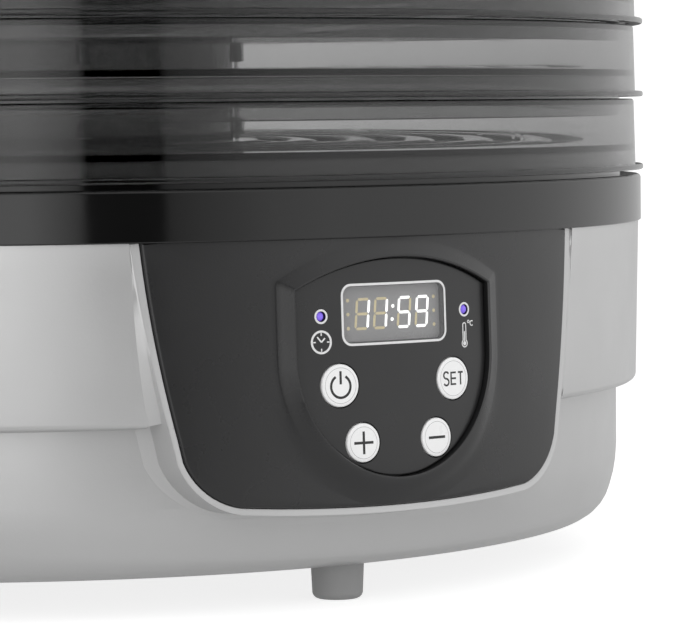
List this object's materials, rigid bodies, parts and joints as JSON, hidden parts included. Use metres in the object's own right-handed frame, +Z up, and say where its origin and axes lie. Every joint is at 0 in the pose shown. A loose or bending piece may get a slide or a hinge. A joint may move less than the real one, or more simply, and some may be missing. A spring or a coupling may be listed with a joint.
{
  "type": "round tray dryer",
  "caption": "Round electric dryer with a heated fan base, a push-button panel, smoke-clear stacking trays and a vented lid.",
  "frame": {"origin": "on the axis of the tray stack, at the level of the feet", "axes": "+Z up along the stack, the control panel faces -Y, +X to the right of a person facing the panel"},
  "size_m": [0.33, 0.3313, 0.204],
  "materials": {
    "housing_grey": "satin moulded plastic",
    "foot_grey": "firm moulded foot",
    "deck_black": "gloss moulded plastic",
    "panel_black": "satin moulded plastic",
    "plate_black": "fine satin printed plate",
    "smoke_clear": "smoke transparent plastic",
    "window_grey": "tinted window",
    "display_body": "moulded display block",
    "led_violet": "lit indicator lens",
    "button_white": "white moulded plastic",
    "switch_black": "switch housings",
    "board_green": "circuit board",
    "cable_grey": "flat cable insulation",
    "steel": "zinc plated steel",
    "motor_steel": "laminated motor body",
    "fan_black": "moulded fan",
    "brass": "turned nut",
    "mica": "insulating board",
    "coil_wire": "heated alloy wire",
    "aluminium": "sensor housings",
    "transformer_tape": "wound transformer",
    "relay_blue": "relay case",
    "terminal_green": "terminal block",
    "gland_black": "cable bush"
  },
  "bodies": {
    "base": {"base_housing": "housing_grey", "feet": "foot_grey", "intake_grille": "deck_black", "deck_cover": "deck_black", "outlet_grille": "steel", "deck_screws": "steel", "front_panel": "panel_black", "control_plate": "plate_black", "display_window": "window_grey", "display_module": "display_body", "led_timer": "led_violet", "led_temperature": "led_violet", "tact_switches": "switch_black", "control_board": "board_green", "board_screws": "steel", "ribbon_cable": "cable_grey", "motor_bracket": "steel", "bracket_screws": "steel", "fan_motor": "motor_steel", "fan_shroud": "fan_black", "heater_frame": "mica", "heater_coil": "coil_wire", "thermostat": "aluminium", "thermal_fuse": "aluminium", "temperature_sensor": "aluminium", "power_board": "board_green", "power_transformer": "transformer_tape", "power_relay": "relay_blue", "terminal_block": "terminal_green", "cord_gland": "gland_black"},
    "fan": {"motor_shaft": "steel", "fan_impeller": "fan_black", "fan_nut": "brass"},
    "power_button": {"button_power": "button_white"},
    "set_button": {"button_set": "button_white"},
    "plus_button": {"button_plus": "button_white"},
    "minus_button": {"button_minus": "button_white"},
    "tray_1": {"tray_1_rim": "smoke_clear", "tray_1_floor": "smoke_clear", "tray_1_hub": "smoke_clear"},
    "tray_2": {"tray_2_rim": "smoke_clear", "tray_2_floor": "smoke_clear", "tray_2_hub": "smoke_clear"},
    "tray_3": {"tray_3_rim": "smoke_clear", "tray_3_floor": "smoke_clear", "tray_3_hub": "smoke_clear"},
    "tray_4": {"tray_4_rim": "smoke_clear", "tray_4_floor": "smoke_clear", "tray_4_hub": "smoke_clear"},
    "tray_5": {"tray_5_rim": "smoke_clear", "tray_5_floor": "smoke_clear", "tray_5_hub": "smoke_clear"},
    "lid": {"lid": "smoke_clear"}
  },
  "joints": [
    {"name": "fan_spin", "type": "hinge", "parent": "base", "child": "fan", "pos_m": [0, 0, 0.05], "axis": [0, 0, 1], "continuous": true},
    {"name": "power_press", "type": "slide", "parent": "base", "child": "power_button", "axis": [0, 1, 0], "range_m": [0, 0.0008], "stiffness_N_per_m": 500, "springref_m": -0.0005},
    {"name": "set_press", "type": "slide", "parent": "base", "child": "set_button", "axis": [0, 1, 0], "range_m": [0, 0.0008], "stiffness_N_per_m": 500, "springref_m": -0.0005},
    {"name": "plus_press", "type": "slide", "parent": "base", "child": "plus_button", "axis": [0, 1, 0], "range_m": [0, 0.0008], "stiffness_N_per_m": 500, "springref_m": -0.0005},
    {"name": "minus_press", "type": "slide", "parent": "base", "child": "minus_button", "axis": [0, 1, 0], "range_m": [0, 0.0008], "stiffness_N_per_m": 500, "springref_m": -0.0005},
    {"name": "tray_1_lift", "type": "slide", "parent": "base", "child": "tray_1", "axis": [0, 0, 1], "range_m": [0, 0.04]},
    {"name": "tray_2_lift", "type": "slide", "parent": "tray_1", "child": "tray_2", "axis": [0, 0, 1], "range_m": [0, 0.04]},
    {"name": "tray_3_lift", "type": "slide", "parent": "tray_2", "child": "tray_3", "axis": [0, 0, 1], "range_m": [0, 0.04]},
    {"name": "tray_4_lift", "type": "slide", "parent": "tray_3", "child": "tray_4", "axis": [0, 0, 1], "range_m": [0, 0.04]},
    {"name": "tray_5_lift", "type": "slide", "parent": "tray_4", "child": "tray_5", "axis": [0, 0, 1], "range_m": [0, 0.04]},
    {"name": "lid_lift", "type": "slide", "parent": "tray_5", "child": "lid", "axis": [0, 0, 1], "range_m": [0, 0.04]}
  ]
}
